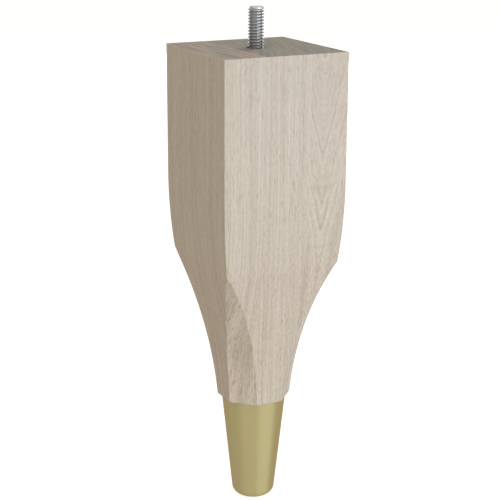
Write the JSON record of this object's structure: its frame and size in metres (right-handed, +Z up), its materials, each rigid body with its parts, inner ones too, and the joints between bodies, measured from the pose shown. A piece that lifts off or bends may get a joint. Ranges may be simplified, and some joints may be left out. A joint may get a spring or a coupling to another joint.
{
  "type": "wooden furniture foot",
  "caption": "Square oak furniture leg, swept in and cornered to an octagon over a tapered brass ferrule, with a hanger bolt standing out of its top.",
  "frame": {"origin": "middle of the flat foot, on the floor", "axes": "+Z up the leg, from the foot to the end of the stud; X and Y square to the four broad faces"},
  "size_m": [0.0636, 0.0636, 0.2476],
  "materials": {
    "oak": "bare sanded white oak under a clear matt whitewash, end grain darker",
    "satin_brass": "satin brushed brass",
    "zinc_steel": "rolled thread, bright zinc plated"
  },
  "bodies": {
    "root": {"wood_leg": "oak", "ferrule": "satin_brass", "hanger_bolt": "zinc_steel"}
  },
  "joints": []
}
